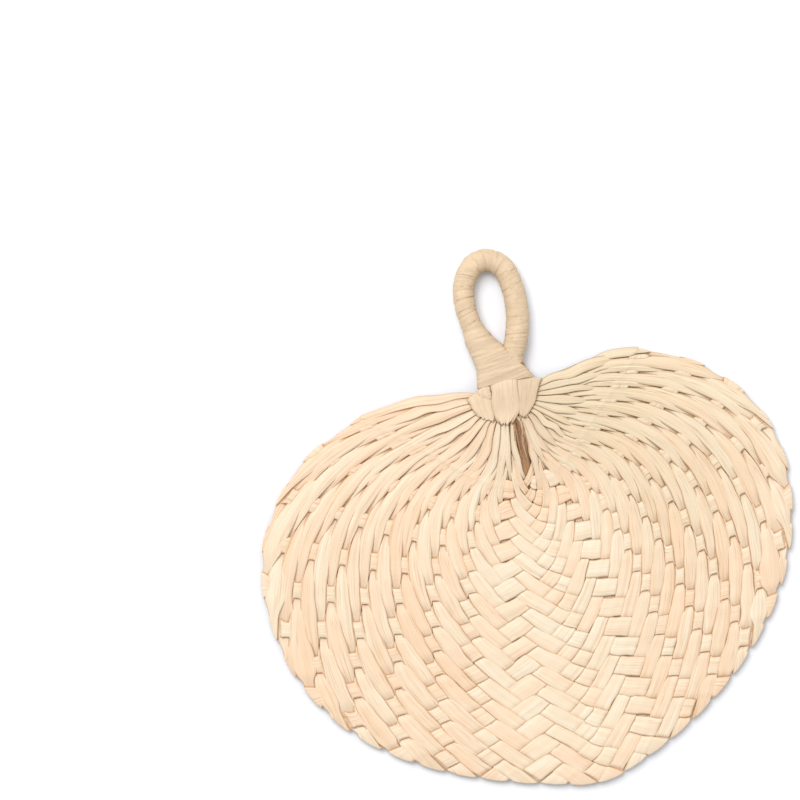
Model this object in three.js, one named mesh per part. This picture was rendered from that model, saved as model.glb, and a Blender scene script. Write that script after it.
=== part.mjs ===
// Raffia hand fan: a bias-plaited leaf blade with a folded edge, gathered at a bound neck under a wrapped loop.
// Millimetres. The fan lies face up on a table: +Z up, +Y toward the loop, +X to the right.
import * as THREE from "three";

// Weave
const STRIPS = 34; // leaf strips, each folded once at the rim
const LEAF_T = 0.4; // thickness of a leaf strip
const LEVEL = 0.42; // how far an over or an under lies from the middle of the blade
const FILL = 0.86; // share of the pitch that a strip takes up
const APEX_SHRINK = 0.32; // share that the first crossings are drawn in by
const APEX_ROWS = 3.5; // and over how many rows that fades
const FOLD_OUT = 0.5; // how far the crease stands beyond the outermost crossing
const LEAF_W = 8.8; // width of a leaf strip where nothing squeezes it
const CHORD_OFF = 0.55; // a float is straight where its edges bend less than this
const LEAF_MOST = 6.2; // widest a strip gets on its free run
const FREE_GAP = 0.4; // between free strips of one layer
const LAYER = 0.8; // height between the layers of free strips at the neck
const LIFT_FROM = 24; // beyond the first radius the lowest layer comes down onto the blade's own level
const LIFT_TO = 60;
const START_S = 2.4; // crossings' worth of blade above the first crossing
const RING_POWER = 1.15; // how fast the rows open out from the apex
const RING_POWER_SIDE = 0.45; // and how much faster at the sides

// Blade outline
const APEX = [1.3, -44]; // where the two families draw together
const TIP = [8, -238];
const RIGHT_CORNER = [84, 10];
const LEFT_CORNER = [-92, 2];
const RIGHT_WIDEST = [154.5, -76];
const LEFT_WIDEST = [-166, -90];
const TIP_RISE = 9; // how far the rim climbs beside its slightly pointed tip
const TIP_HANDLE = 42; // over this length
const LEFT_LOW = 120; // how long the rim runs straight below its widest point
const RIGHT_LOW = 100;
const SIDE_HIGH = 48; // and above it
const CORNER_RUN = 32; // and how far it comes in level at the corner
const CORNER_DROP = 8;
const LEG_CLOSE = 0.5; // share of the sector that the first rows are drawn in by
const RIM_LIFT = 2.2; // the rim curls up off the table by this much
const FLAT_MIDDLE = [-4, -105]; // middle of the stretch that lies flat
const FLAT_TO_RIM = [162, 130]; // from there to the rim, along X and Y
const FLAT_SHARE = 0.55; // and the share of that way that stays flat

// Neck and loop
const NECK_Z = 7.7; // height of the middle of the neck
const NECK_X = -1; // its middle, left of the blade's axis
const NECK_R = 12; // the strips' hidden ends stand on this radius
const FAN_FROM = 4; // first and last strip's angle from straight down, in degrees
const FAN_TO = 101;
const RISE_FROM = 18; // the blade climbs to the neck between these radii
const RISE_TO = 72;
const SEAT = 0.35; // gap between pieces that touch
const BUNDLE_WIDE = 14.6; // half width of the bound bundle at the legs' roots
const ROOT_IN = 10.6; // how far inside the binding's lower edge the loop's legs begin
const BUNDLE_HIGH = 5.5; // and its half height
const LEG_LEFT = -8.4; // where the loop's legs leave the bundle
const LEG_RIGHT = 6.2;
const LOOP_WIDE = 15; // how far the loop's middle line swings out to each side
const LOOP_REACH = 63; // from the legs' roots to the top of its middle line
const LOOP_TOP_Z = 6.8; // the loop's far end leans down to this height
const CORE_SIDES = 10;
const CORE_RINGS = 30;
const CORE_HIGH = 4.9; // half height of the loop's core
const CORE_WIDE = [4.8, 5.6, 6.0]; // its half width on the left leg, at the top and on the right leg
const LEG_ROOT = 0.9; // the legs' roots are this much slimmer, so that they fit side by side in the binding
const WRAP_T = 0.7; // thickness of the wrapping strip
const WRAP_TURNS = 17;
const WRAP_SHARE = 0.7; // share of the pitch that the wrapping strip covers
const WRAP_STEPS = 10;
const WRAP_FROM = 0.045; // share of the loop's length where the wrapping starts
const WRAP_TO = 0.962;
const BINDING_T = 0.9;
const BINDING_LOW = 8.2; // the binding's two edges along Y
const BINDING_HIGH = 22.3;
const BINDING_SLANT = 0.13; // its far edge drops to the right
const COLLAR_T = 0.8;

const LEAF = new THREE.MeshStandardMaterial({ color: 0xf3dfc0, roughness: 0.7 });
const TAPE = new THREE.MeshStandardMaterial({ color: 0xe0c9a4, roughness: 0.75 });
const CORE = new THREE.MeshStandardMaterial({ color: 0xb98f5a, roughness: 0.85 });

const V = (x, y, z = 0) => new THREE.Vector3(x, y, z);
const UP = V(0, 0, 1);
const lerp = (a, b, t) => a + (b - a) * t;
const clamp = (t) => Math.min(1, Math.max(0, t));
const smooth = (t) => clamp(t) ** 2 * (3 - 2 * clamp(t));

const fan = new THREE.Group();
const pieces = new THREE.Group(); // modelled from the neck, then set over the part's origin
fan.add(pieces);

// Joins a row of equal rings into one closed skin. Open rows get a lid at each end, made of rungs across the ring.
function skin(name, rings, material, closed = false) {
  const n = rings[0].length;
  const positions = [];
  const faces = [];
  for (const ring of rings) {
    for (const p of ring) positions.push(p.x, p.y, p.z);
  }
  const spans = closed ? rings.length : rings.length - 1;
  for (let r = 0; r < spans; r += 1) {
    const here = r * n;
    const next = ((r + 1) % rings.length) * n;
    for (let i = 0; i < n; i += 1) {
      const j = (i + 1) % n;
      faces.push(here + i, here + j, next + j, here + i, next + j, next + i);
    }
  }
  const last = (rings.length - 1) * n;
  for (let i = 0; i < n / 2 - 1 && !closed; i += 1) {
    const [a, b, c, d] = [i, i + 1, n - 2 - i, n - 1 - i];
    faces.push(a, c, b, a, d, c);
    faces.push(last + a, last + b, last + c, last + a, last + c, last + d);
  }
  const geometry = new THREE.BufferGeometry();
  geometry.setAttribute("position", new THREE.Float32BufferAttribute(positions, 3));
  geometry.setIndex(signedVolume(positions, faces) < 0 ? faces.reverse() : faces);
  geometry.computeVertexNormals();
  const mesh = new THREE.Mesh(geometry, material);
  mesh.name = name;
  pieces.add(mesh);
  return mesh;
}

function signedVolume(p, f) {
  let sum = 0;
  for (let i = 0; i < f.length; i += 3) {
    const [a, b, c] = [0, 1, 2].map((k) => V(p[3 * f[i + k]], p[3 * f[i + k] + 1], p[3 * f[i + k] + 2]));
    sum += a.dot(b.cross(c));
  }
  return sum;
}

// One half of a row, from the tip over the widest point to the corner, as two cubic curves at the rim's size. A row
// nearer the apex is rounder at the tip: pointed runs from 0 to 1 at the rim.
function halfRow(widest, corner, side, pointed) {
  const tip = V(...TIP);
  const wide = V(...widest);
  const end = V(...corner);
  const rise = V(tip.x + side * TIP_HANDLE, tip.y + TIP_RISE * pointed);
  const path = new THREE.CurvePath();
  const low = side < 0 ? LEFT_LOW : RIGHT_LOW;
  path.add(new THREE.CubicBezierCurve3(tip, rise, V(wide.x, wide.y - low), wide));
  const shoulder = V(end.x + side * CORNER_RUN, end.y - CORNER_DROP);
  path.add(new THREE.CubicBezierCurve3(wide, V(wide.x, wide.y + SIDE_HIGH), shoulder, end));
  return path;
}

// Half rows are kept for a run of shares of the way to the rim, and read between them.
const ROWS = 16;
const HALF_ROWS = { "-1": [], 1: [] };
for (let n = 0; n <= ROWS; n += 1) {
  const pointed = (n / ROWS) ** 4;
  HALF_ROWS[-1].push(halfRow(LEFT_WIDEST, LEFT_CORNER, -1, pointed));
  HALF_ROWS[1].push(halfRow(RIGHT_WIDEST, RIGHT_CORNER, 1, pointed));
}

function rowPoint(side, s, u) {
  const at = Math.min(1, s) * ROWS;
  const low = Math.min(ROWS - 1, Math.floor(at));
  return HALF_ROWS[side][low].getPoint(u).lerp(HALF_ROWS[side][low + 1].getPoint(u), at - low);
}

// Where strip i of the left family meets strip j of the right family. Both may be fractions.
function meet(i, j) {
  const s = (i + j + START_S) / (STRIPS - 1 + START_S);
  const phi = ((j - i) / (i + j + START_S)) * ((STRIPS - 1 + START_S) / (STRIPS - 1));
  const u = Math.min(1, 0.77 * Math.abs(phi) + 0.23 * Math.abs(phi) ** 3);
  const apex = V(...APEX);
  const out = rowPoint(phi < 0 ? -1 : 1, s, u).sub(apex);
  const angle = Math.atan2(out.x, -out.y) * (1 - LEG_CLOSE * (1 - Math.min(1, s)) ** 4);
  const reach = out.length() * s ** (RING_POWER + RING_POWER_SIDE * phi * phi);
  return V(apex.x + reach * Math.sin(angle), apex.y - reach * Math.cos(angle));
}

// Height of the middle of the blade: flat on the table, curling up to the rim and climbing to the neck.
function middle(p) {
  const r = Math.hypot(p.x, p.y);
  const q = Math.hypot((p.x - FLAT_MIDDLE[0]) / FLAT_TO_RIM[0], (p.y - FLAT_MIDDLE[1]) / FLAT_TO_RIM[1]);
  const flat = LEVEL + LEAF_T / 2 + RIM_LIFT * smooth((q - FLAT_SHARE) / (1 - FLAT_SHARE));
  return lerp(NECK_Z, flat, smooth((r - RISE_FROM) / (RISE_TO - RISE_FROM)));
}

// A crossing's cell: its centre, half the cross strip's width along the left strip, and the reverse. Cells shrink a
// little near the apex, where the strips turn hard, and are never wider than their neighbours leave room for.
function cell(i, j) {
  const e = 0.5;
  const p = meet(i, j);
  const fill = FILL * (1 - APEX_SHRINK * Math.exp(-(i + j) / APEX_ROWS));
  const halfWidth = (di, dj) => {
    const there = meet(i + di * e, j + dj * e).sub(meet(i - di * e, j - dj * e));
    const steps = [p.distanceTo(meet(i + di, j + dj))];
    if (i >= di && j >= dj) steps.push(p.distanceTo(meet(i - di, j - dj)));
    return there.setLength((fill / 2) * Math.min(...steps));
  };
  const u = halfWidth(0, 1);
  const v = halfWidth(1, 0);
  const sine = Math.abs(u.x * v.y - u.y * v.x) / (u.length() * v.length());
  u.clampLength(0, LEAF_W / 2 / sine);
  v.clampLength(0, LEAF_W / 2 / sine);
  return { p, u, v };
}

// Which family shows on the front at a crossing. It depends only on the column j - i: chevrons of two over two down
// the middle, and a two over one twill on both sides.
function leftOver(d) {
  if (d > 8) return (d - 9) % 3 === 2;
  if (d < -7) return (-8 - d) % 3 !== 2;
  const centre = "RLLRRLLRLRRLLRRL"; // columns -7 to 8
  return centre[d + 7] === "L";
}

// One ring of a strip: centre, half width vector, the side that was the front before the fold. Each corner rides on
// the blade's middle surface, so crossing strips keep their distance on the climb to the neck too.
function leafRing(centre, half, z, front, travel) {
  const side = travel.clone().cross(front);
  const across = half.clone();
  if (across.dot(side) < 0) across.negate();
  const thick = front.clone().multiplyScalar(LEAF_T / 2);
  const [one, other] = [centre.clone().add(across), centre.clone().sub(across)];
  for (const p of [one, other]) p.z = middle(p) + z;
  return [one.clone().add(thick), other.clone().add(thick), other.clone().sub(thick), one.clone().sub(thick)];
}

// Leaves out rings marked as spare where the strip's edges stay within reach of the straight line past them.
function thin(rings) {
  const kept = [];
  rings.forEach((ring, n) => {
    const next = rings[n + 1];
    if (!ring.spare || !next) {
      kept.push(ring);
      return;
    }
    const before = kept.at(-1);
    const off = [0, 1].map((k) => {
      const line = new THREE.Line3(before[k], next[k]);
      return line.closestPointToPoint(ring[k], true, V(0, 0)).distanceTo(ring[k]);
    });
    if (Math.max(...off) > CHORD_OFF) kept.push(ring);
  });
  return kept;
}

// The free run of a strip from the neck to its first crossing on the leg, as a smooth curve in plan.
function freeCurve(index, side) {
  const first = side < 0 ? cell(index, 0) : cell(0, index);
  const along = side < 0 ? first.u : first.v;
  const end = first.p.clone().sub(along);
  const turn = THREE.MathUtils.degToRad(lerp(FAN_FROM, FAN_TO, (index / (STRIPS - 1)) ** 0.95));
  const out = V(side * Math.sin(turn), -Math.cos(turn));
  const start = out.clone().multiplyScalar(NECK_R);
  const reach = start.distanceTo(end) * 0.36;
  const late = reach * lerp(0.35, 1, clamp(index / 6));
  const before = end.clone().sub(along.clone().normalize().multiplyScalar(late));
  return new THREE.CubicBezierCurve3(start, start.clone().add(out.multiplyScalar(reach)), before, end);
}

const FREE = { "-1": [], 1: [] };
for (const side of [-1, 1]) {
  for (let k = 0; k < STRIPS; k += 1) FREE[side].push(freeCurve(k, side));
}

// Distance from a free strip's curve to its nearest neighbour's, square to the strip.
function spacing(index, side, t) {
  const p = FREE[side][index].getPoint(t);
  const tangent = FREE[side][index].getTangent(t);
  const others = [index - 1, index + 1].filter((k) => k >= 0 && k < STRIPS);
  return Math.min(
    ...others.map((k) => {
      const to = FREE[side][k].getPoint(t).sub(p);
      return to.addScaledVector(tangent, -to.dot(tangent)).length();
    }),
  );
}

// Where the free run has its rings, as a share of its curve, and how many layers of strips lie there.
const FREE_STOPS = [[0, 3], [0.26, 3], [0.72, 3], [0.93, 1]];

// Rings of a free run, neck first. Three layers lie over one another until the strip narrows for its first crossing.
function freeRings(index, side, front, outward) {
  const order = side < 0 ? STRIPS * 3 - 1 - index : index;
  const rings = [];
  for (const [t, layers] of FREE_STOPS) {
    const p = FREE[side][index].getPoint(t);
    const travel = FREE[side][index].getTangent(t).multiplyScalar(outward);
    const room = spacing(index, side, t);
    const width = layers === 1 ? room * FILL * 0.92 : Math.min(LEAF_MOST, room * 3 * 0.94 - FREE_GAP);
    const half = travel.clone().cross(UP).setLength(width / 2);
    const lift = smooth((Math.hypot(p.x, p.y) - LIFT_FROM) / (LIFT_TO - LIFT_FROM));
    rings.push(leafRing(p, half, ((order % 3) - 1 + lift) * LAYER, front, travel));
  }
  return outward > 0 ? rings : rings.reverse();
}

// Strip k runs out from the neck as left strip k, folds over the rim and comes back as right strip STRIPS - 1 - k.
function leafStrip(k) {
  const m = STRIPS - 1 - k;
  const down = UP.clone().negate();
  const rings = freeRings(k, -1, UP, 1);
  const stops = [];
  for (let j = 0; j <= m; j += 1) stops.push({ ...cell(k, j), over: leftOver(j - k) });
  stops.forEach((c, n) => {
    const z = c.over ? LEVEL : -LEVEL;
    const before = stops[n - 1];
    const next = stops[n + 1];
    const first = leafRing(c.p.clone().sub(c.u), c.v, z, UP, c.u);
    first.spare = Boolean(before) && before.over === c.over;
    rings.push(first);
    if (!next) return;
    const last = leafRing(c.p.clone().add(c.u), c.v, z, UP, c.u);
    last.spare = next.over === c.over;
    rings.push(last);
  });
  const fold = stops.at(-1);
  const z = fold.over ? LEVEL : -LEVEL;
  const crease = fold.v.clone().sub(fold.u);
  const out = V(-crease.y, crease.x).normalize();
  if (out.dot(fold.u) < 0) out.negate();
  const edge = fold.p.clone().addScaledVector(out, FOLD_OUT);
  rings.push(leafRing(edge, crease, z, UP, out));
  const turned = leafRing(edge.clone().addScaledVector(out, LEVEL), crease, 0, out.clone().negate(), V(0, 0, -Math.sign(z)));
  rings.push(turned);
  rings.push(leafRing(edge, crease, -z, down, out.clone().negate()));
  const back = [];
  for (let i = k; i >= 0; i -= 1) back.push({ ...cell(i, m), over: !leftOver(m - i) });
  back.forEach((c, n) => {
    const level = c.over ? LEVEL : -LEVEL;
    const travel = c.v.clone().negate();
    const before = back[n - 1];
    const next = back[n + 1];
    if (before) {
      const first = leafRing(c.p.clone().add(c.v), c.u, level, down, travel);
      first.spare = before.over === c.over;
      rings.push(first);
    }
    const last = leafRing(c.p.clone().sub(c.v), c.u, level, down, travel);
    last.spare = Boolean(next) && next.over === c.over;
    rings.push(last);
  });
  rings.push(...freeRings(m, 1, down, -1));
  skin("leaf_strip_" + String(k + 1).padStart(2, "0"), thin(rings), LEAF);
}

for (let k = 0; k < STRIPS; k += 1) leafStrip(k);

// The loop's middle line: up the left leg, round the top and down the right leg, which ends nearer the blade. Each
// point is a share of the loop's swing and of its reach.
const ROOT_Y = BINDING_LOW + ROOT_IN;
const LOOP = new THREE.CatmullRomCurve3(
  [
    [LEG_LEFT / LOOP_WIDE, 0],
    [-0.64, 0.11],
    [-0.86, 0.36],
    [-1, 0.59],
    [-0.88, 0.81],
    [-0.4, 0.97],
    [0.2, 1],
    [0.74, 0.905],
    [0.99, 0.69],
    [0.97, 0.43],
    [0.72, 0.2],
    [0.5, 0.08],
    [LEG_RIGHT / LOOP_WIDE, 0],
  ].map(([x, y]) => V(x * LOOP_WIDE, ROOT_Y + y * LOOP_REACH, lerp(NECK_Z, LOOP_TOP_Z, smooth(y / 0.8)))),
  false,
  "centripetal",
);
const LOOP_LENGTH = LOOP.getLength();

// A point on a skin round the loop's middle line, at a share of its length and an angle, so far outside the core.
function loopPoint(share, angle, outside) {
  const along = LOOP.getTangentAt(clamp(share));
  const side = along.clone().cross(UP).normalize();
  const rise = side.clone().cross(along).normalize();
  const [left, top, right] = CORE_WIDE;
  const wide = share < 0.5 ? lerp(left, top, smooth(share * 2)) : lerp(top, right, smooth(share * 2 - 1));
  const slim = lerp(LEG_ROOT, 1, smooth(Math.min(share, 1 - share) / 0.1));
  return LOOP.getPointAt(clamp(share))
    .addScaledVector(side, (wide * slim + outside) * Math.cos(angle))
    .addScaledVector(rise, (CORE_HIGH * slim + outside) * Math.sin(angle));
}

function loopCore() {
  const rings = [];
  for (let n = 0; n <= CORE_RINGS; n += 1) {
    const ring = [];
    for (let k = 0; k < CORE_SIDES; k += 1) ring.push(loopPoint(n / CORE_RINGS, (2 * Math.PI * k) / CORE_SIDES, 0));
    rings.push(ring);
  }
  skin("loop_core", rings, CORE);
}

// The wrapping strip: one unbroken flat band wound along the loop.
function loopWrap() {
  const pitch = (WRAP_TO - WRAP_FROM) / (WRAP_TURNS + 1);
  const half = (WRAP_SHARE * pitch) / 2;
  const edges = [[], []];
  const rings = [];
  for (let n = 0; n <= WRAP_TURNS * WRAP_STEPS; n += 1) {
    const turn = n / WRAP_STEPS;
    const angle = Math.PI * (1 - 2 * turn);
    const share = WRAP_FROM + pitch * (turn + 0.5);
    const [inner, outer] = [SEAT + 0.3, SEAT + 0.3 + WRAP_T];
    rings.push([
      loopPoint(share - half, angle, outer),
      loopPoint(share + half, angle, outer),
      loopPoint(share + half, angle, inner),
      loopPoint(share - half, angle, inner),
    ]);
    edges[0].push(rings.at(-1)[3]);
    edges[1].push(rings.at(-1)[2]);
  }
  const gaps = edges[1].slice(0, -WRAP_STEPS).map((p, n) => {
    const next = edges[0].slice(n + WRAP_STEPS - 1, n + WRAP_STEPS + 2);
    return Math.min(...next.map((q) => p.distanceTo(q)));
  });
  console.log("loop_wrap: least gap between turns " + Math.min(...gaps).toFixed(2) + " mm");
  skin("loop_wrap", rings, TAPE);
}

// A flattened round section across the neck, at a height along Y that may slant.
function neckSection(y, wide, high, slant, angle) {
  const [c, s] = [Math.cos(angle), Math.sin(angle)];
  const r = 1 / (Math.abs(c) ** 3 + Math.abs(s) ** 3) ** (1 / 3);
  return V(NECK_X + wide * r * c, y - slant * wide * r * c, NECK_Z + high * r * s);
}

const NECK_SIDES = 20;
const NECK_SHAPE = [
  [-0.85 * NECK_R, 0.25 * BUNDLE_WIDE, 0.27 * BUNDLE_HIGH],
  [-0.58 * NECK_R, 0.55 * BUNDLE_WIDE, 0.44 * BUNDLE_HIGH],
  [-0.17 * NECK_R, 0.7 * BUNDLE_WIDE, 0.62 * BUNDLE_HIGH],
  [0.25 * NECK_R, 0.73 * BUNDLE_WIDE, 0.76 * BUNDLE_HIGH],
  [BINDING_LOW - 0.6, 0.96 * BUNDLE_WIDE, 0.95 * BUNDLE_HIGH],
  [BINDING_LOW + 4, BUNDLE_WIDE, BUNDLE_HIGH],
  [ROOT_Y - 4 * SEAT, 0.95 * BUNDLE_WIDE, BUNDLE_HIGH],
]; // Y, half width and half height of the bundle that the strips and the loop's legs are bound to

function neckCore() {
  const rings = NECK_SHAPE.map(([y, wide, high]) => {
    const ring = [];
    for (let k = 0; k < NECK_SIDES; k += 1) ring.push(neckSection(y, wide, high, 0, (2 * Math.PI * k) / NECK_SIDES));
    return ring;
  });
  skin("neck_core", rings, CORE);
}

// The binding is a sleeve round the bundle and the roots of the loop's legs.
function neckBinding() {
  const rings = [];
  const shape = [
    [BINDING_LOW, BUNDLE_WIDE + 2, BUNDLE_HIGH + 0.6, 0],
    [lerp(BINDING_LOW, BINDING_HIGH, 0.5), BUNDLE_WIDE + 1, BUNDLE_HIGH + 0.9, BINDING_SLANT / 2],
    [BINDING_HIGH, BUNDLE_WIDE - 0.4, BUNDLE_HIGH + 0.5, BINDING_SLANT],
  ];
  const sides = NECK_SIDES * 1.2;
  for (let k = 0; k < sides; k += 1) {
    const angle = (2 * Math.PI * k) / sides;
    const outside = shape.map(([y, wide, high, slant]) => neckSection(y, wide + BINDING_T, high + BINDING_T, slant, angle));
    const inside = shape.map(([y, wide, high, slant]) => neckSection(y, wide, high, slant, angle));
    rings.push([...outside, ...inside.reverse()]);
  }
  skin("neck_binding", rings, TAPE, true);
}

// How far a collar leaf's inner face stands from the neck's middle: over the bundle, down to the strips' ends.
function collarHeight(x, y, most) {
  const low = 2 * LAYER * 0.5 + LEAF_T / 2 + SEAT + 0.5;
  const ridge = lerp(low, most, smooth((y + 13) / (BINDING_LOW + 13)));
  const across = clamp(Math.abs(x - NECK_X) / 15.5);
  return low + (ridge - low) * Math.sqrt(1 - across * across);
}

// A collar leaf between two edges, each given by its left and right end in plan. It follows the neck on its front
// (face 1) or back (face -1).
function collarLeaf(name, top, bottom, face, most, [leftBulge, rightBulge]) {
  const [rows, columns] = [5, 5];
  const rings = [];
  for (let r = 0; r <= rows; r += 1) {
    const [skinSide, outSide] = [[], []];
    for (let c = 0; c <= columns; c += 1) {
      const [t, w] = [r / rows, c / columns];
      const bulge = Math.sin(Math.PI * t) * lerp(-leftBulge, rightBulge, w);
      const x = lerp(lerp(top[0], top[2], w), lerp(bottom[0], bottom[2], w), t) + bulge;
      const y = lerp(lerp(top[1], top[3], w), lerp(bottom[1], bottom[3], w), t);
      const z = collarHeight(x, y, most);
      skinSide.push(V(x, y, NECK_Z + face * z));
      outSide.push(V(x, y, NECK_Z + face * (z + COLLAR_T)));
    }
    rings.push([...skinSide, ...outSide.reverse()]);
  }
  skin(name, rings, TAPE);
}

loopCore();
loopWrap();
neckCore();
neckBinding();
const FLAP_Y = BINDING_LOW - SEAT;
collarLeaf("collar_left", [-24.4, 3, -10.6, FLAP_Y - 0.4], [-21, -9.4, -11.6, -14.6], 1, 6, [0.6, 0]);
collarLeaf("collar_centre", [-10.2, FLAP_Y, 6.2, FLAP_Y], [-9.8, -16.4, 1.2, -18.2], 1, 6, [0.8, 2]);
collarLeaf("collar_right", [6.7, FLAP_Y, 21, FLAP_Y - 2], [6.2, -14.4, 11, -13.6], 1, 6, [-0.8, -0.6]);
collarLeaf("collar_back", [-19.5, FLAP_Y - 2, 19.5, FLAP_Y - 2], [-15, -14, 13, -14], -1, 5.9, [3, 3]);

// The part's origin lies on the table under the middle of its outline.
const outline = new THREE.Box3().setFromObject(pieces);
pieces.position.set(-(outline.min.x + outline.max.x) / 2, -(outline.min.y + outline.max.y) / 2, -outline.min.z);

export default fan;
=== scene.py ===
# Raffia hand fan: the fine surface over the CAD frame.
# Lengths in this file are millimetres from the neck, which place() turns into the frame's metres.
import math
import bpy
import numpy as np
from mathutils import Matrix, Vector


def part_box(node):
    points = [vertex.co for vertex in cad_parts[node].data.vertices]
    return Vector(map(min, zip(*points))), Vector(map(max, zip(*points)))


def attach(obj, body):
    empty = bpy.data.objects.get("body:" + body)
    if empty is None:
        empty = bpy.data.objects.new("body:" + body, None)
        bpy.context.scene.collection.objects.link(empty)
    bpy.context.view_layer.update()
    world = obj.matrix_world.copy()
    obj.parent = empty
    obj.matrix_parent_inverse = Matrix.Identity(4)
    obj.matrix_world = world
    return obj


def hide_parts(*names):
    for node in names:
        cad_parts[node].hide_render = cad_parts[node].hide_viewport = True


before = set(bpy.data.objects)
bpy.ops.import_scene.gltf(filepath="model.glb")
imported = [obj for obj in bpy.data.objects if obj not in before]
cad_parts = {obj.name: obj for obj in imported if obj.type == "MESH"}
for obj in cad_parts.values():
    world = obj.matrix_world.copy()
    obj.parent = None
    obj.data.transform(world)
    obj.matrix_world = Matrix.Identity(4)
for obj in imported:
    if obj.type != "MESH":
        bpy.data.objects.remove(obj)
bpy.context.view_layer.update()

# The weave, as in the CAD
STRIPS = 34  # leaf strips, each folded once at the rim
START_S = 2.4  # rows between the apex and the first crossing
RING_POWER, RING_POWER_SIDE = 1.15, 0.45  # rows are spaced by this power of their number, more at the sides
ROW_EVEN, ROW_CUBIC = 0.77, 0.23  # how the crossings spread along a row
APEX = np.array([1.3, -44.0])  # where the two families draw together
TIP = np.array([8.0, -238.0])
RIGHT_CORNER, LEFT_CORNER = np.array([84.0, 10.0]), np.array([-92.0, 2.0])
RIGHT_WIDEST, LEFT_WIDEST = np.array([154.5, -76.0]), np.array([-166.0, -90.0])
TIP_RISE, TIP_HANDLE = 9.0, 42.0  # the rim climbs this much beside its tip, over this length
SIDE_LOW, SIDE_HIGH = {-1: 120.0, 1: 100.0}, 48.0  # the curve's handles below and above the widest point
CORNER_RUN, CORNER_DROP = 32.0, 8.0
LEG_CLOSE = 0.5  # the first rows turn towards straight down by this share of their angle
RIM_LIFT = 2.2  # the rim curls up off the table by this much
FLAT_MIDDLE, FLAT_TO_RIM = np.array([-4.0, -105.0]), np.array([162.0, 130.0])
FLAT_SHARE = 0.55  # of the oval that these two give: inside it the blade is flat
FAN_FROM, FAN_TO, FAN_POWER = 4.0, 101.0, 0.95  # first and last strip's angle from straight down, in degrees
NECK_R, NECK_X, NECK_Z = 12.0, -1.0, 7.7
CORE_BELOW = 10.2  # how far neck_core reaches below the neck
RISE_FROM, RISE_TO = 18.0, 72.0  # the blade climbs to the neck between these radii
LIFT_FROM, LIFT_TO = 24.0, 60.0  # free strips lift off the blade between these radii
LAYER = 0.8  # by up to this much
FOLD_OUT = 0.5  # how far the crease stands beyond the outermost crossing
CENTRE_COLUMNS = "RLLRRLLRLRRLLRRL"  # columns -7 to 8

# The visible strips, finer and wider than the CAD's
APEX_SHRINK, APEX_ROWS = 0.1, 3.5  # the first crossings are drawn in by this share, over so many rows
LEAF_W, LEAF_T = 10.6, 0.26  # a leaf's width and thickness
LEVEL, UNDER_LEVEL = 0.3, 0.65  # how far an over and an under lie from the middle of the blade
BLADE_MID = 1.85
FREE_HALF = 3.3  # half width of a free strip near the neck
SHINGLE = 0.22  # one edge of a strip lies this much higher than the other on the flanks
FREE_SHINGLE = 0.42
ACROSS = 11  # points across a strip
PER_CELL = 7  # stations between two crossings
FIRST_STEP = 0.8866  # a woven run starts this share of a cell's half length before its first crossing
STOP_SHORT = 0.35  # and one with a single crossing stops this share before it
SIDEWAYS = 0.05  # a float strays sideways by this share of its half width
OVER_VARIES = 0.06  # and its width varies by this share
STAY_END, STAY_MOST = 0.3, 0.7  # a strip keeps its side this far at its ends, and this share of a gap at most
DIVE_LEAST = 0.16  # half the least share of a gap in which it changes sides
FLOAT_BOW = 0.3  # a float rises by this share between its crossings
FLOAT_SWELL, FLANK_SWELL = 0.05, 0.12  # and widens by this share, and on the flanks by this much more
CROWN, CROWN_FLANK = 0.08, 0.05  # a leaf is arched across by these shares of its half width
CROWN_MOST = 0.62
STRIP_CREASES, CREASE_WIDE = 4, 0.14
PLEAT_HIGH = 0.3
GUTTER = 0.4  # near the neck a strip is folded up or down lengthwise by this much
FOLD_SHARE, FOLD_HALF, CORNER_HALF = 1.08, 8.0, 4.5
FOLD_STEPS = 7
FOLD_HIGH = 1.3  # how far the fold's edge stands out, in levels
FOLD_SLIM = 0.26  # the strips of a flank narrow by this share before the fold
FOLD_BULGE = 0.7
FOLD_TILT = 0.15
FOLD_TUCK = 0.2  # the corners of a fold tuck in behind its neighbours

# Widths at the crossings, as shares of the strip's own
OVER_WIDE, APEX_WIDE, APEX_FADE = 1.07, 0.1, 8
RIM_ROWS = 4  # the flank's pattern changes over the last rows before the rim
UNDER_OWN, TAB_SHARE = 0.7, 0.9  # under on its own flank, and over on the other
FLOAT_HALF, FLOAT_RIM = 3.9, 0.35  # half width of a float, and how much wider it is at the rim
FLOAT_LEAST, FLOAT_MOST = 1.2, 1.9
SPREAD, SPREAD_MOST = 1.14, 2.6  # under on the other flank
LAST_HALF, LAST_MOST = 6.4, 2.0  # the last float before the fold

# The free run from the neck to the first crossing
FREE_STEPS = 26
FREE_REACH = 0.36  # handles of its curve, as a share of its length
FREE_LATE, LATE_STRIPS = 0.35, 6  # the later handle grows from this share to all of it over so many strips
FREE_SLIM, FREE_OPENS = 0.85, 0.058  # half width where it leaves the neck, and how fast that grows
FREE_WANDER = 0.7
HOLLOW = {-1: 0.6, 1: 6.0}  # how far the first strips stand back from the hollow below the collar
HOLLOW_SLIM = {-1: 0.3, 1: 0.45}  # and how much narrower they are
LENS_STRIPS = 14  # the first strips on either side swell and end in a point
LENS_SWELL, LENS_THIN, LENS_LATER = 0.6, 0.2, 0.3  # the last is what the other strips have of it
LENS_TIP = 0.58
LAYER_WIDE = {-1: 0.8, 0: 0.92, 1: 1.18}  # near the neck every third strip lies on top and spreads
LAYER_HIGH = {-1: -1.0, 0: -0.35, 1: 0.5}

# Where along the grain a piece begins, in millimetres, so that no two show the same stretch of it
STRIP_GRAIN = 700
INNER_GRAIN = 31000
FIBRE_GRAIN, FIBRE_GRAIN_STEP = 35000, 90
COLLAR_GRAIN = 900

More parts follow.
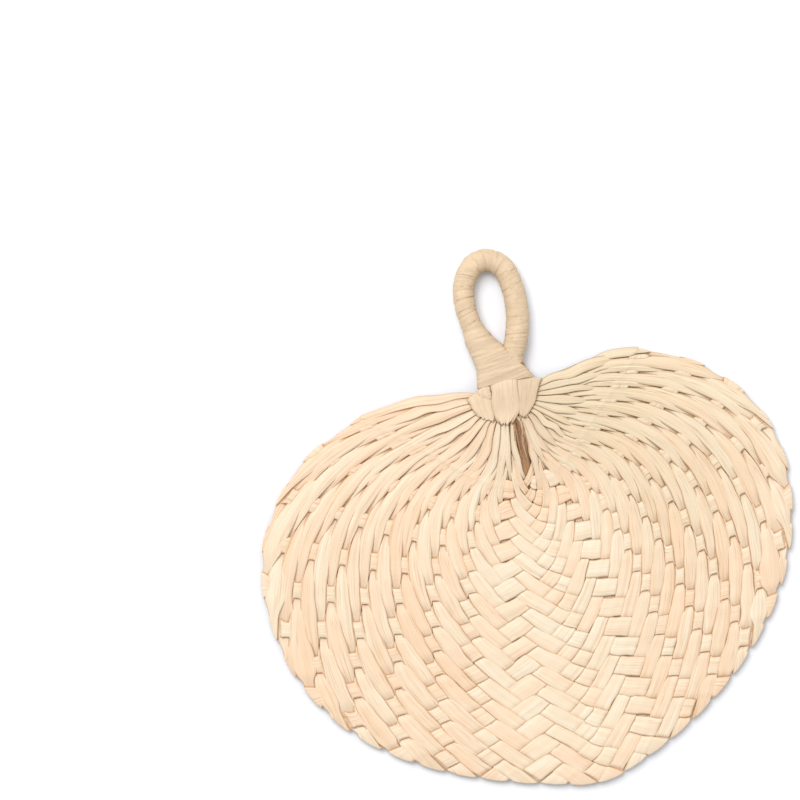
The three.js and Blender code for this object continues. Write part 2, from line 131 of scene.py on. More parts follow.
core_low, core_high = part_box("neck_core")
NECK = np.array([
    (core_low[0] + core_high[0]) / 2 * 1000 - NECK_X,
    core_low[1] * 1000 + CORE_BELOW,
    0.0,
])
rng = np.random.default_rng(518)


def place(points):
    """Points in millimetres from the neck, as metres in the frame."""
    return (np.asarray(points, float) + NECK) / 1000


def smooth(t):
    t = np.clip(t, 0, 1)
    return t * t * (3 - 2 * t)


def unit(v):
    return v / np.maximum(np.linalg.norm(v, axis=-1, keepdims=True), 1e-9)


def run_of(line):
    """How far along a line each of its points lies."""
    return np.concatenate([[0], np.cumsum(np.linalg.norm(np.diff(line, axis=0), axis=1))])


def even_steps(line, steps):
    """The same line in steps of one length, and its whole length."""
    run = run_of(line)
    at = np.linspace(0, run[-1], steps + 1)
    return np.stack([np.interp(at, run, line[:, n]) for n in range(line.shape[1])], axis=1), run[-1]


# Weave map
CURVE_STEPS = 300
ROW_STEPS = 400
ROWS = 16


def bezier(a, b, c, d, t):
    t = t[..., None]
    return a * (1 - t) ** 3 + 3 * b * t * (1 - t) ** 2 + 3 * c * t * t * (1 - t) + d * t ** 3


def half_row(widest, corner, side, pointed):
    """Half a row at the rim's size, from the tip over the widest point to the corner, in even steps."""
    t = np.linspace(0, 1, CURVE_STEPS + 1)
    rise = TIP + [side * TIP_HANDLE, TIP_RISE * pointed]
    low = bezier(TIP, rise, widest - [0, SIDE_LOW[side]], widest, t)
    shoulder = corner + [side * CORNER_RUN, -CORNER_DROP]
    high = bezier(widest, widest + [0, SIDE_HIGH], shoulder, corner, t)
    return even_steps(np.vstack([low, high[1:]]), ROW_STEPS)[0]


HALF_ROWS = np.array([
    [half_row(LEFT_WIDEST, LEFT_CORNER, -1, (n / ROWS) ** 4) for n in range(ROWS + 1)],
    [half_row(RIGHT_WIDEST, RIGHT_CORNER, 1, (n / ROWS) ** 4) for n in range(ROWS + 1)],
])


def meet(i, j):
    """Where left strip i meets right strip j; both may be arrays and fractions."""
    i, j = np.broadcast_arrays(np.asarray(i, float), np.asarray(j, float))
    s = (i + j + START_S) / (STRIPS - 1 + START_S)
    phi = (j - i) / (i + j + START_S) * (STRIPS - 1 + START_S) / (STRIPS - 1)
    u = np.minimum(1, ROW_EVEN * abs(phi) + ROW_CUBIC * abs(phi) ** 3)
    side = (phi >= 0).astype(int)
    row = np.minimum(1, s) * ROWS
    low = np.minimum(ROWS - 1, np.floor(row).astype(int))
    at = u * ROW_STEPS
    a = np.minimum(ROW_STEPS - 1, np.floor(at).astype(int))
    f = (at - a)[..., None]
    g = (row - low)[..., None]
    one = HALF_ROWS[side, low, a] * (1 - f) + HALF_ROWS[side, low, a + 1] * f
    two = HALF_ROWS[side, low + 1, a] * (1 - f) + HALF_ROWS[side, low + 1, a + 1] * f
    out = one * (1 - g) + two * g - APEX
    angle = np.arctan2(out[..., 0], -out[..., 1]) * (1 - LEG_CLOSE * (1 - np.minimum(1, s)) ** 4)
    reach = np.linalg.norm(out, axis=-1) * s ** (RING_POWER + RING_POWER_SIDE * phi * phi)
    return APEX + np.stack([reach * np.sin(angle), -reach * np.cos(angle)], axis=-1)


def cells():
    """Centre and half vectors of every crossing, and how much wider than a leaf each cell is."""
    i, j = np.meshgrid(np.arange(STRIPS), np.arange(STRIPS), indexing="ij")
    p = meet(i, j)
    fill = 1 - APEX_SHRINK * np.exp(-(i + j) / APEX_ROWS)

    def half(di, dj):
        there = meet(i + di / 2, j + dj / 2) - meet(i - di / 2, j - dj / 2)
        ahead = np.linalg.norm(meet(i + di, j + dj) - p, axis=-1)
        behind = np.linalg.norm(meet(np.maximum(i - di, 0), np.maximum(j - dj, 0)) - p, axis=-1)
        behind = np.where((i >= di) & (j >= dj), behind, ahead)
        return unit(there) * (fill / 2 * np.minimum(ahead, behind))[..., None]

    u, v = half(0, 1), half(1, 0)
    sine = abs(u[..., 0] * v[..., 1] - u[..., 1] * v[..., 0])
    sine = sine / (np.linalg.norm(u, axis=-1) * np.linalg.norm(v, axis=-1))
    most = LEAF_W / 2 / sine
    spare = []
    for w in (u, v):
        share = np.minimum(1, most / np.linalg.norm(w, axis=-1))
        w *= share[..., None]
        spare.append(1 / share)
    return p, u, v, spare


P, U, W, (SPARE_U, SPARE_W) = cells()
I, J = np.meshgrid(np.arange(STRIPS), np.arange(STRIPS), indexing="ij")
PHI = (J - I) / (I + J + START_S) * (STRIPS - 1 + START_S) / (STRIPS - 1)


def left_over(d):
    """Whether the strip of the left family lies on top in column d."""
    if d > 8:
        return (d - 9) % 3 == 2
    if d < -7:
        return (-8 - d) % 3 != 2
    return CENTRE_COLUMNS[d + 7] == "L"


LEFT_OVER = np.array([[left_over(j - i) for j in range(STRIPS)] for i in range(STRIPS)])
# 0 in the middle of the blade, 1 on its flanks
FLANK = smooth((abs(PHI) - 0.2) / 0.3) * smooth((I + J - 2) / 7)


def width_shares(own, over, half, spare):
    """Width of a strip at every crossing as a share of its leaf. On its own flank it floats wide between
    tabs, and below the floats of the other flank it spreads to fill its cell."""
    centre = np.where(over, OVER_WIDE, 1.0) + APEX_WIDE * np.exp(-(I + J) / APEX_FADE)
    rim = smooth((I + J - STRIPS + RIM_ROWS) / 3)
    float_half = FLOAT_HALF * (1 + FLOAT_RIM * rim)
    float_wide = np.maximum(FLOAT_LEAST, np.minimum(FLOAT_MOST, float_half / half))
    spread = np.minimum(SPREAD_MOST, SPREAD * spare)
    under_own = UNDER_OWN + (1 - UNDER_OWN) * rim
    flank = np.where(own, np.where(over, float_wide, under_own), np.where(over, TAB_SHARE, spread))
    to_rim = np.minimum(LAST_MOST, LAST_HALF / half)
    flank = np.where(own & (I + J == STRIPS - 2), np.maximum(flank, to_rim), flank)
    return centre * (1 - FLANK) + flank * FLANK


SHARE_LEFT = width_shares(I > J, LEFT_OVER, np.linalg.norm(W, axis=-1), SPARE_W)
SHARE_RIGHT = width_shares(J > I, ~LEFT_OVER, np.linalg.norm(U, axis=-1), SPARE_U)


def middle(xy):
    """Height of the blade's middle surface: flat, curling up to the rim and climbing to the neck."""
    r = np.hypot(xy[..., 0], xy[..., 1])
    q = np.linalg.norm((xy - FLAT_MIDDLE) / FLAT_TO_RIM, axis=-1)
    flat = BLADE_MID + RIM_LIFT * smooth((q - FLAT_SHARE) / (1 - FLAT_SHARE))
    return NECK_Z + (flat - NECK_Z) * smooth((r - RISE_FROM) / (RISE_TO - RISE_FROM))


def free_curve(index, side, t):
    """The middle line of a strip from the neck to just before its first crossing."""
    first = (P[index, 0], U[index, 0]) if side < 0 else (P[0, index], W[0, index])
    end = first[0] - first[1] * FIRST_STEP
    turn = math.radians(FAN_FROM + (FAN_TO - FAN_FROM) * (index / (STRIPS - 1)) ** FAN_POWER)
    out = np.array([side * math.sin(turn), -math.cos(turn)])
    start = out * NECK_R
    reach = np.linalg.norm(end - start) * FREE_REACH
    late = reach * (FREE_LATE + (1 - FREE_LATE) * min(1, index / LATE_STRIPS))
    line = bezier(start, start + out * reach, end - unit(first[1]) * late, end, t)
    line[:, 0] += side * HOLLOW[side] * np.exp(-index / 2.2) * np.sin(np.pi * t ** 0.8) ** 2
    return line


FREE_T = np.linspace(0, 1, FREE_STEPS)
FREE = {side: np.array([free_curve(k, side, FREE_T) for k in range(STRIPS)]) for side in (-1, 1)}


def hermite(points, count):
    """A smooth line through points, count steps in each gap. Gives its places, the gap that each lies in and
    the share of it, and the gaps' lengths."""
    gaps = np.maximum(np.linalg.norm(np.diff(points, axis=0), axis=1), 1e-6)
    slope = np.diff(points, axis=0) / gaps[:, None]
    tangent = np.vstack([
        slope[:1],
        (slope[:-1] * gaps[1:, None] + slope[1:] * gaps[:-1, None]) / (gaps[1:] + gaps[:-1])[:, None],
        slope[-1:],
    ])
    gap = np.repeat(np.arange(len(gaps)), count)
    t = np.tile(np.arange(count) / count, len(gaps))
    gap, t = np.append(gap, len(gaps) - 1), np.append(t, 1.0)
    h = gaps[gap][:, None]
    s = t[:, None]
    line = (
        (2 * s ** 3 - 3 * s ** 2 + 1) * points[gap]
        + (s ** 3 - 2 * s ** 2 + s) * h * tangent[gap]
        + (3 * s ** 2 - 2 * s ** 3) * points[gap + 1]
        + (s ** 3 - s ** 2) * h * tangent[gap + 1]
    )
    return line, gap, t, gaps


def slow_noise(length, step, amount):
    """A gently varying random line, one value a station."""
    knots = max(4, int(length / step) + 3)
    values = rng.normal(0, amount, knots)
    at = np.linspace(0, knots - 1.001, length)
    low = np.floor(at).astype(int)
    f = smooth(at - low)
    return values[low] * (1 - f) + values[low + 1] * f


def tip_share(index, side):
    """How far a strip narrows where it first dives under another."""
    dives = not LEFT_OVER[index, 0] if side < 0 else LEFT_OVER[0, index]
    return LENS_TIP if dives and index < LENS_STRIPS else 1.0


def woven_run(index, leaving):
    """Stations of the woven half of a strip, apex to rim: its line, its half width vectors, its bow (1 over,
    -1 under) and how far it leans like a roof tile on its flank."""
    order = np.arange(STRIPS - index)
    here = (index, order) if leaving else (order, index)
    centre = P[here]
    along, across = (U[here], W[here]) if leaving else (W[here], U[here])
    over = LEFT_OVER[here] if leaving else ~LEFT_OVER[here]
    share = (SHARE_LEFT if leaving else SHARE_RIGHT)[here]
    crossed = np.minimum(OVER_WIDE, (SHARE_RIGHT if leaving else SHARE_LEFT)[here])
    own = np.where(order <= index, FLANK[here], 0.0)
    share = share * (1 + rng.normal(0, OVER_VARIES, len(order)) * over)
    stop_short = 1.0 if len(order) > 1 else STOP_SHORT
    knots = np.vstack([
        centre[:1] - along[:1] * FIRST_STEP,
        centre[:-1],
        centre[-1:] - along[-1:] * stop_short,
    ])
    pick = np.concatenate([[0], np.arange(len(order) - 1), [len(order) - 1]])
    extent = (np.linalg.norm(along, axis=1) * crossed)[pick]
    extent[0] = extent[-1] = STAY_END
    level = np.where(over[pick], 1.0, -1.0)
    lean = own[pick]
    share[0] *= tip_share(index, -1 if leaving else 1)
    side = (across * share[:, None])[pick]
    side[-1] = across[-1] * (1 - FOLD_SLIM * own[-1])
    if index == 0:
        side[-1] *= min(1, CORNER_HALF / np.linalg.norm(across[-1]))
    shift = rng.normal(0, SIDEWAYS, len(pick))[:, None] * side * (level[:, None] > 0)
    shift[[0, -1]] = 0
    line, gap, t, gaps = hermite(knots + shift, PER_CELL)
    from_level, to_level = level[gap], level[gap + 1]
    start = np.clip(extent[gap] / gaps[gap], 0, STAY_MOST)
    stop = 1 - np.clip(extent[gap + 1] / gaps[gap], 0, STAY_MOST)
    mid = (start + stop) / 2
    half = np.maximum((stop - start) / 2, DIVE_LEAST)
    f = smooth((t - mid + half) / (2 * half))
    bow = from_level * (1 - f) + to_level * f
    same = from_level == to_level
    bow = bow * (1 + FLOAT_BOW * same * np.sin(np.pi * t) ** 2)
    opening = smooth((t - 0.15 * lean[gap]) / (1 - 0.2 * lean[gap]))
    closing = smooth((t - 0.35 + 0.18 * lean[gap]) / 0.65)
    wave = np.where(from_level > to_level, closing, np.where(same, smooth(t), opening))
    # a tab of the other family is pinched between the floats and spreads as soon as it is below them
    pinched = np.where(order > index, FLANK[here], 0.0)[pick][gap]
    spreading = smooth((t - 0.3) / 0.22)
    gathering = smooth((t - 0.48) / 0.22)
    pinch = np.where(from_level > to_level, spreading, np.where(same, smooth(t), gathering))
    wave = wave * (1 - pinched) + pinch * pinched
    lateral = side[gap] * (1 - wave[:, None]) + side[gap + 1] * wave[:, None]
    swell = np.where(same & (from_level > 0), FLOAT_SWELL + FLANK_SWELL * lean[gap], 0.0)
    swell = swell * np.sin(np.pi * t) ** 2
    lean = lean[gap] * (1 - t) + lean[gap + 1] * t
    return line, lateral * (1 + swell)[:, None], bow, lean


def free_run(index, side):
    """Stations of a strip from the neck to its first crossing: its line, its half width vectors, its height
    over the blade's middle and how free it still is."""
    line = FREE[side][index]
    tangent = unit(np.gradient(line, axis=0))
    radius = np.hypot(line[:, 0], line[:, 1])
    order = STRIPS * 3 - 1 - index if side < 0 else index
    layer = (order % 3) - 1
    half = np.minimum(FREE_HALF, FREE_SLIM + FREE_OPENS * (radius - NECK_R))
    half = half * rng.uniform(0.8, 1.2) * LAYER_WIDE[layer]
    half = half * (1 - HOLLOW_SLIM[side] * np.exp(-index / 1.5))
    high = LAYER_HIGH[layer] + rng.normal(0, 0.08)
    lens = 1 if index < LENS_STRIPS else LENS_LATER
    half = half * (1 + lens * (LENS_SWELL * np.sin(np.pi * FREE_T ** 0.9) ** 1.5 - LENS_THIN))
    last = W[index, 0] * SHARE_LEFT[index, 0] if side < 0 else U[0, index] * SHARE_RIGHT[0, index]
    last = last * tip_share(index, side)
    lift = smooth((radius - LIFT_FROM) / (LIFT_TO - LIFT_FROM))
    height = high + lift * (1 - smooth(FREE_T)) * LAYER
    square = np.stack([-tangent[:, 1], tangent[:, 0]], axis=1)
    wander = slow_noise(len(FREE_T), 7, FREE_WANDER) * np.sin(np.pi * FREE_T) ** 2
    line = line + square * wander[:, None]
    last = last * np.sign(last @ square[-1])
    joining = smooth((FREE_T - 0.35) / 0.6)[:, None]
    lateral = square * half[:, None] * (1 - joining) + last * joining
    return line, lateral, height, 1 - smooth((FREE_T - 0.6) / 0.4)


def oriented(line, lateral, front):
    """Turns the lateral vectors to lie along travel x front."""
    travel = np.gradient(line, axis=0)
    want = np.stack([travel[:, 1], -travel[:, 0]], axis=1) * front
    flip = np.sign(np.sum(want * lateral, axis=1, keepdims=True))
    flip[flip == 0] = 1
    return lateral * flip


S = np.linspace(-1, 1, ACROSS)


def strip_surface(k):
    """The middle surface of strip k, neck to rim to neck, as stations x places across, and the way along."""
    m = STRIPS - 1 - k  # it comes back as this strip of the right family
    parts = []

    def add(line, lateral, height, bow, free, lean):
        parts.append((line, lateral, height, bow, free, lean))

    rev = slice(None, None, -1)
    out_line, out_side, out_height, out_free = free_run(k, -1)
    weave_line, weave_side, weave_bow, weave_lean = woven_run(k, True)
    back_line, back_side, back_bow, back_lean = woven_run(m, False)
    home_line, home_side, home_height, home_free = free_run(m, 1)
    first, last = weave_bow[0], back_bow[0]
    out_lean = weave_lean[0] + (1 - weave_lean[0]) * out_free
    home_lean = back_lean[0] + (1 - back_lean[0]) * home_free
    add(out_line[:-1], oriented(out_line, out_side, 1)[:-1], out_height[:-1],
        first * (1 - out_free[:-1]), out_free[:-1], -out_lean[:-1])
    zero = np.zeros(len(weave_line))
    add(weave_line, oriented(weave_line, weave_side, 1), zero, weave_bow, zero, -weave_lean)
    # the fold at the rim
    p = P[k, m]
    low, high = max(k - 1, 0), min(k + 1, STRIPS - 1)
    crease = (P[high, STRIPS - 1 - high] - P[low, STRIPS - 1 - low]) / (high - low) / 2
    most = FOLD_HALF if 0 < k < STRIPS - 1 else CORNER_HALF
    crease = crease * min(FOLD_SHARE, most / np.linalg.norm(crease))
    out = unit(np.array([-crease[1], crease[0]]))
    out = out * np.sign(out @ U[k, m])
    turn = np.linspace(0, np.pi, FOLD_STEPS)
    sign = 1.0 if LEFT_OVER[k, m] else -1.0
    edge = p + out * (FOLD_OUT - 0.1)
    fold_line = edge + out * (np.sin(turn) * LEVEL * FOLD_HIGH)[:, None]
    want = np.array([out[1], -out[0]])
    crease = crease * (1 if crease @ want > 0 else -1)
    zero = np.zeros(FOLD_STEPS)
    add(fold_line, np.tile(crease, (FOLD_STEPS, 1)), zero, sign * np.cos(turn), zero - 1, zero)
    zero = np.zeros(len(back_line))
    back_across = oriented(back_line[rev], back_side[rev], -1)
    add(back_line[rev], back_across, zero, back_bow[rev], zero, back_lean[rev])
    home_across = oriented(home_line[rev], home_side[rev], -1)
    add(home_line[rev][1:], home_across[1:], home_height[rev][1:],
        last * (1 - home_free[rev][1:]), home_free[rev][1:], home_lean[rev][1:])
    line, lateral = (np.vstack([q[n] for q in parts]) for n in (0, 1))
    height, bow, free, lean = (np.concatenate([q[n] for q in parts]) for n in (2, 3, 4, 5))
    count = len(line)
    in_fold = free < 0  # the fold's stations are marked with -1
    free = np.clip(free, 0, 1)[:, None]
    half = np.linalg.norm(lateral, axis=1)

    def eased(values, size):
        """A running mean over so many stations."""
        return np.convolve(np.pad(values, size // 2, mode="edge"), np.ones(size) / size, mode="valid")

    quiet = eased(np.where(in_fold, 0.0, 1.0), 9)
    # each edge of a natural leaf wanders on its own
    edges = [1 + (slow_noise(count, 11, 0.045) + slow_noise(count, 4, 0.025)) * quiet for _ in range(2)]
    share = np.where(S[None, :] > 0, edges[0][:, None], edges[1][:, None]) * S[None, :]
    xy = line[:, None, :] + lateral[:, None, :] * share[..., None]
    arch = 1 - S[None, :] ** 2
    tip = S if k < STRIPS / 2 else -S
    outwards = FOLD_BULGE * arch + FOLD_TILT * tip[None, :] - FOLD_TUCK * S[None, :] ** 6
    xy = xy + in_fold[:, None, None] * out * outwards[..., None]
    crown = eased(np.minimum(CROWN_MOST, (CROWN + CROWN_FLANK * abs(lean)) * half) * ~in_fold, 7)
    depth = LEVEL + (UNDER_LEVEL - LEVEL) * smooth(-bow)
    z = middle(xy) + bow[:, None] * (depth[:, None] + crown[:, None] * arch) + height[:, None] * free
    # on its flank and on the free run a strip lies with one edge on its neighbour, like a roof tile
    roll = 1 + slow_noise(count, 16, 0.3)
    rests = bow > -0.2 * (free[:, 0] < 0.5)
    steep = SHINGLE * np.clip(half / 3.2, 0.5, 1.3) * roll * rests + FREE_SHINGLE * free[:, 0] * roll
    z = z + (eased(steep, 5) * lean)[:, None] * S[None, :]
    pleat = eased(np.clip(0.85 - half / 4.2, 0, 0.6) * (free[:, 0] < 0.5) * quiet, 5)
    z = z + pleat[:, None] * PLEAT_HIGH * np.cos(3 * np.pi * S)[None, :] * arch
    gutter = rng.choice([-1.0, 1.0, 1.0])
    z = z + free * gutter * GUTTER * (arch - 0.5)
    for _ in range(STRIP_CREASES):
        at = np.clip(rng.uniform(-0.8, 0.8) + slow_noise(count, 30, 0.12), -0.85, 0.85)
        deep = rng.uniform(-0.24, 0.14) * (1 + slow_noise(count, 14, 0.8))
        z = z + quiet[:, None] * deep[:, None] * np.exp(-((S[None, :] - at[:, None]) / CREASE_WIDE) ** 2)
    surface = np.concatenate([xy, np.maximum(z, LEAF_T)[..., None]], axis=2)
    return surface, run_of(line)


def closed_rings(outer, inner):
    """Rings that run along an outer surface and back along an inner one, one a row."""
    return np.concatenate([outer, inner[:, ::-1]], axis=1)


def there_and_back(values):
    """Values across a leaf, for the points of a ring."""
    return np.concatenate([values, values[..., ::-1]], axis=-1)


def attribute(ring, *parts):
    """A vector for every point of the rings, where parts left out are 0."""
    values = np.zeros(ring.shape)
    for axis, part in enumerate(parts):
        values[..., axis] = part
    return values


def shell(surface, thick):
    """Rings round an open grid, one a row, that make it a leaf of the given thickness with thinner edges."""
    columns = surface.shape[1]
    du = np.gradient(surface, axis=0)
    ds = np.gradient(surface, axis=1)
    normal = -unit(np.cross(du, ds))
    s = np.linspace(-1, 1, columns)
    half = thick / 2 * (1 - 0.55 * s ** 6)[None, :, None]
    return closed_rings(surface + normal * half, surface - normal * half)


def fix_normals(mesh):
    """Faces point out: the volume that they enclose is positive."""
    count = len(mesh.vertices)
    co = np.empty(count * 3)
    mesh.vertices.foreach_get("co", co)
    co = co.reshape(-1, 3)
    mesh.calc_loop_triangles()
    tri = np.empty(len(mesh.loop_triangles) * 3, dtype=np.int64)
    mesh.loop_triangles.foreach_get("vertices", tri)
    tri = co[tri.reshape(-1, 3)]
    volume = np.sum(tri[:, 0] * np.cross(tri[:, 1], tri[:, 2]))
    if volume < 0:
        mesh.flip_normals()


def new_object(name, data):
    obj = bpy.data.objects.new(name, data)
    bpy.context.scene.collection.objects.link(obj)
    return obj


def add_mesh(name, ring, material, node, attributes, closed=False):
    """A closed piece from rows of equal rings, which stands for the CAD node where it names one."""
    rows, n = ring.shape[:2]
    base = np.arange(n)
    spans = rows if closed else rows - 1
    r = np.arange(spans)[:, None]
    a = r * n + base
    b = r * n + (base + 1) % n
    c = ((r + 1) % rows) * n + (base + 1) % n
    d = ((r + 1) % rows) * n + base
    quads = np.stack([a, b, c, d], axis=-1).reshape(-1, 4)
    faces = [tuple(q) for q in quads.tolist()]
    if not closed:
        for i in range(n // 2 - 1):
            faces.append((i, n - 1 - i, n - 2 - i, i + 1))
            e = (rows - 1) * n
            faces.append((e + i, e + i + 1, e + n - 2 - i, e + n - 1 - i))
    points = place(ring.reshape(-1, 3))
    mesh = bpy.data.meshes.new(name)
    mesh.from_pydata([tuple(p) for p in points.tolist()], [], faces)
    mesh.update()
    mesh.polygons.foreach_set("use_smooth", [True] * len(mesh.polygons))
    for key, values in attributes.items():
        layer = mesh.attributes.new(key, "FLOAT_VECTOR", "POINT")
        layer.data.foreach_set("vector", np.asarray(values, dtype=np.float32).reshape(-1))
    mesh.materials.append(material)
    obj = new_object(name, mesh)
    fix_normals(mesh)
    if node:
        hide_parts(node)
    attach(obj, "root")
    return obj


# Materials
def new_material(name):
    material = bpy.data.materials.new(name)
    material.use_nodes = True
    nodes = material.node_tree.nodes
    nodes.clear()
    return material, nodes, material.node_tree.links


class Wiring:
    """Short calls for the nodes of one material."""

    def __init__(self, name):
        self.material, self.nodes, self.links = new_material(name)

    def node(self, kind, **values):
        made = self.nodes.new(kind)
        for key, value in values.items():
            setattr(made, key, value)
        return made

    def feed(self, socket, value):
        """Sets a number or a colour, or links another node's output."""
        if isinstance(value, (int, float)):
            socket.default_value = value
        elif isinstance(value, tuple):
            socket.default_value = (*value, 1) if len(value) == 3 else value
        else:
            self.links.new(value, socket)

    def math(self, operation, *values):
        made = self.node("ShaderNodeMath", operation=operation)
        for socket, value in zip(made.inputs, values):
            self.feed(socket, value)
        return made.outputs[0]

    def mix(self, factor, a, b):
        made = self.node("ShaderNodeMix", data_type="RGBA")
        for index, value in ((0, factor), (6, a), (7, b)):
            self.feed(made.inputs[index], value)
        return made.outputs[2]

    def ramp(self, value, low, high):
        made = self.node("ShaderNodeMapRange", clamp=True)
        for name, each in (("Value", value), ("From Min", low), ("From Max", high)):
            self.feed(made.inputs[name], each)
        return made.outputs[0]

    def vector(self, *values):
        made = self.node("ShaderNodeCombineXYZ")
        for socket, value in zip(made.inputs, values):
            self.feed(socket, value)
        return made.outputs[0]

    def noise(self, vector, scale=1.0, detail=2.0, roughness=0.55):
        made = self.node("ShaderNodeTexNoise")
        settings = (("Vector", vector), ("Scale", scale), ("Detail", detail), ("Roughness", roughness))
        for name, value in settings:
            self.feed(made.inputs[name], value)
        return made.outputs["Fac"]

    def split(self, name):
        attribute = self.node("ShaderNodeAttribute", attribute_name=name)
        parts = self.node("ShaderNodeSeparateXYZ")
        self.links.new(attribute.outputs["Vector"], parts.inputs[0])
        return parts.outputs


def leaf_material(name, pale, other, streak, crevice_shade, rough, fibre=1.0, depth=0.0026, bump=0.5,
                  shade_most=0.95, edge=0.32, blotch=(0.02, 1.4), rib_count=5.0):
    """Dried leaf, with painted shade: an ambient occlusion node tints hidden places, such as the gaps and
    slits between strips, with a dark gap colour, and thin painted shade lines run along the edges and fold
    creases.
    The attribute 'leaf' holds millimetres along, place across from -1 to 1, and the strip's own tone;
    'stain_and_shade' holds how far it has browned, which also deepens and spreads the painted gap shade, how
    green it stayed, which also darkens the painted edge and crease lines and turns the painted shade olive,
    and how calm the blade's middle is, where the tint, the grain, the crease lines and the painted shade are
    toned down."""
    wiring = Wiring(name)
    math_node, mix, ramp, noise = wiring.math, wiring.mix, wiring.ramp, wiring.noise
    along, across, tone = wiring.split("leaf")
    browning_and_gap_shade, green_and_edge_shade, calm = wiring.split("stain_and_shade")

    def stretched(a, b, c):
        return wiring.vector(
            math_node("MULTIPLY", along, a), math_node("MULTIPLY", across, b), math_node("MULTIPLY", tone, c)
        )

    fine = noise(stretched(0.03, 12.0, 40.0), detail=3.0, roughness=0.62)
    ribs = noise(stretched(0.008, rib_count, 23.0), detail=2.0, roughness=0.7)
    broad = noise(stretched(*blotch, 60.0))
    # painted shade: thin dark lines along the grain stand for the shade in fold creases, stronger where the
    # strip stayed green and fainter in the calm middle of the blade
    lines = noise(stretched(0.012, 4.4, 91.0), detail=1.0)
    off_line = math_node("ABSOLUTE", math_node("SUBTRACT", lines, 0.5))
    line = math_node("SUBTRACT", 1.0, ramp(off_line, 0.0, 0.03))
    patch = noise(stretched(0.022, 0.8, 33.0))
    blush = math_node("ADD", math_node("MULTIPLY", tone, 0.55), patch)
    blush = math_node("SUBTRACT", blush, math_node("MULTIPLY", math_node("ADD", calm, green_and_edge_shade), 0.12))
    body = mix(ramp(blush, 0.48, 1.0), pale, other)
    grain = math_node("SUBTRACT", 0.55 * fibre, math_node("MULTIPLY", calm, 0.22))
    body = mix(math_node("MULTIPLY", ramp(fine, 0.38, 0.7), grain), body, streak)
    body = mix(math_node("MULTIPLY", ramp(broad, 0.45, 0.8), 0.5), body, streak)
    # the painted crease shade lines are mixed in here
    crease_shade_amount = math_node("ADD", 0.5, math_node("MULTIPLY", green_and_edge_shade, 0.6))
    crease_shade_amount = math_node("SUBTRACT", crease_shade_amount, math_node("MULTIPLY", calm, 0.3))
    body = mix(math_node("MULTIPLY", math_node("MULTIPLY", line, fibre), crease_shade_amount), body, CREASE_SHADE)
    body = mix(math_node("MULTIPLY", green_and_edge_shade, 0.45), body, GREENISH)
    browned = ramp(math_node("ADD", browning_and_gap_shade, math_node("MULTIPLY", ribs, 0.9)), 0.95, 1.45)
    body = mix(math_node("MULTIPLY", browned, 0.9), body, BROWNED)
    rim = math_node("ABSOLUTE", across)
    side_brown = math_node("MULTIPLY", math_node("MULTIPLY", math_node("POWER", rim, 6.0), browning_and_gap_shade), 1.1)
    body = mix(side_brown, body, BROWNED)
    # painted shade: a thin dark line along both edges of every strip, stronger and olive where the strip
    # stayed green
    edge_shade_amount = math_node("ADD", edge, math_node("MULTIPLY", green_and_edge_shade, 0.6))
    edge_shade_colour = mix(green_and_edge_shade, crevice_shade, OLIVE_SHADE)
    body = mix(math_node("MULTIPLY", math_node("POWER", rim, 12.0), edge_shade_amount), body, edge_shade_colour)
    # painted shade: an ambient occlusion node tints hidden places, such as the gaps and slits between strips,
    # with a dark gap colour, olive on greener strips and near black-brown round the neck and the hollow
    hidden = wiring.node("ShaderNodeAmbientOcclusion", samples=8)
    hidden.inputs["Distance"].default_value = depth
    # round the neck and the hollow the painted gap shade spreads further over the strips
    open_from = math_node("SUBTRACT", OPEN_FROM, math_node("MULTIPLY", browning_and_gap_shade, 0.3))
    shade = math_node("SUBTRACT", 1.0, ramp(hidden.outputs["AO"], 0.28, open_from))
    # the painted shade is weaker in the calm middle of the blade
    most = math_node("SUBTRACT", shade_most, math_node("MULTIPLY", calm, 0.4))
    gap_shade_colour = mix(math_node("MULTIPLY", green_and_edge_shade, 0.7), crevice_shade, OLIVE_SHADE)
    gap_shade_colour = mix(ramp(browning_and_gap_shade, 0.02, 0.32), gap_shade_colour, DEEP_SHADE)
    body = mix(math_node("MULTIPLY", shade, most), body, gap_shade_colour)
    shader = wiring.node("ShaderNodeBsdfPrincipled")
    wiring.feed(shader.inputs["Base Color"], body)
    shader.inputs["Roughness"].default_value = rough
    shader.inputs["Specular IOR Level"].default_value = 0.4
    height = math_node("ADD", math_node("MULTIPLY", fine, 0.5 * fibre), math_node("MULTIPLY", ribs, 0.9))
    raised = wiring.node("ShaderNodeBump")
    raised.inputs["Strength"].default_value = bump
    raised.inputs["Distance"].default_value = BUMP_HIGH
    wiring.feed(raised.inputs["Height"], height)
    wiring.feed(shader.inputs["Normal"], raised.outputs[0])
    output = wiring.node("ShaderNodeOutputMaterial")
    wiring.feed(output.inputs["Surface"], shader.outputs[0])
    return wiring.material


def bundle_material():
    """The bundle inside the neck and the loop, hardly seen."""
    wiring = Wiring("raffia_bundle")
    coordinates = wiring.node("ShaderNodeTexCoord")
    grain = wiring.noise(coordinates.outputs["Object"], scale=900.0, detail=3.0)
    shader = wiring.node("ShaderNodeBsdfPrincipled")
    wiring.feed(shader.inputs["Base Color"], wiring.mix(grain, BUNDLE_PALE, BUNDLE_DARK))
    shader.inputs["Roughness"].default_value = 0.8
    output = wiring.node("ShaderNodeOutputMaterial")
    wiring.feed(output.inputs["Surface"], shader.outputs[0])
    return wiring.material


CREAM = (0.84, 0.745, 0.59)
BLUSH = (0.86, 0.635, 0.455)
STRAW = (0.73, 0.535, 0.355)
# painted shade: the dark colour of gaps, slits and strip edges
CREVICE_SHADE = (0.62, 0.26, 0.055)
GREENISH = (0.66, 0.56, 0.37)
BROWNED = (0.36, 0.17, 0.06)
# painted shade: the near black-brown of gaps round the neck and the hollow
DEEP_SHADE = (0.12, 0.055, 0.015)
